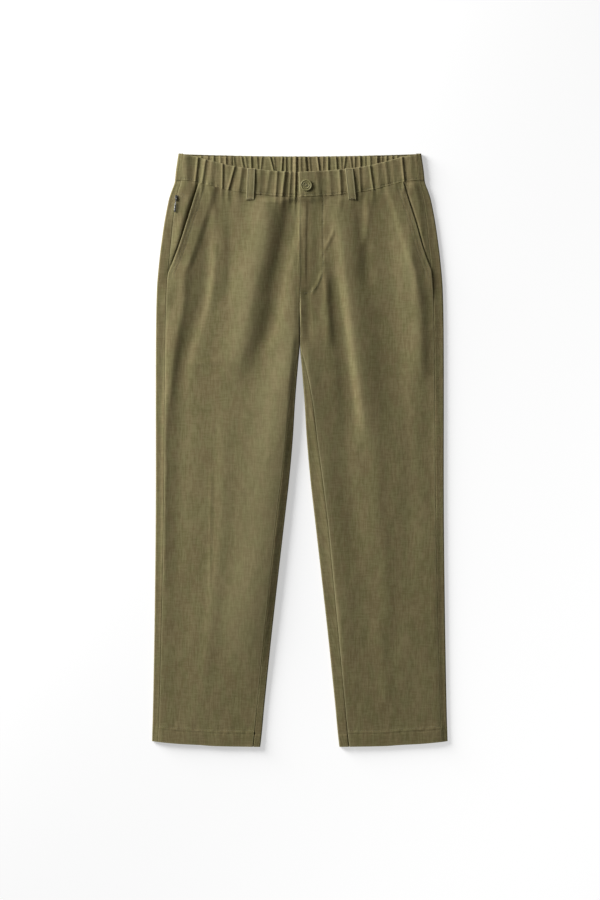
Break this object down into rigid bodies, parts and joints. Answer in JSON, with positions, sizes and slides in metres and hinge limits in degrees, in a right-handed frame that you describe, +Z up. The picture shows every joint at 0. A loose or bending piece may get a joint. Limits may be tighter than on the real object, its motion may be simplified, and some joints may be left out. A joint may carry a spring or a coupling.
{
  "type": "elasticated linen trousers laid flat",
  "caption": "Straight linen trousers laid flat, front up, with a gathered elastic waistband, button fly, slant pockets and a small side zip.",
  "frame": {"origin": "on the surface the trousers lie on, under the middle of their length and width", "axes": "+X to the viewer's right across the trousers, +Y from the hems to the waist, +Z up out of the surface, through the front"},
  "size_m": [0.5008, 1.0046, 0.013],
  "materials": {
    "linen": "olive plain-weave linen, matt and slightly slubbed",
    "button": "dyed olive-brown, satin",
    "zip_metal": "darkened metal"
  },
  "bodies": {
    "garment": {"front_left": "linen", "front_right": "linen", "back_left": "linen", "back_right": "linen", "pocket_facing_left": "linen", "pocket_facing_right": "linen", "waistband_back": "linen", "waistband_front_left": "linen", "waistband_front_right": "linen", "belt_loop_front_left": "linen", "belt_loop_front_right": "linen", "belt_loop_back_left": "linen", "belt_loop_back_middle": "linen", "belt_loop_back_right": "linen", "button": "button", "zip_slider": "zip_metal"},
    "pull_tab": {"zip_tab": "zip_metal"}
  },
  "joints": [
    {"name": "zip_tab_hinge", "type": "hinge", "parent": "garment", "child": "pull_tab", "pos_m": [-0.20906, 0.42715, 0.00813], "axis": [-0.9945, 0.1045, 0], "range_deg": [0, 150]}
  ]
}
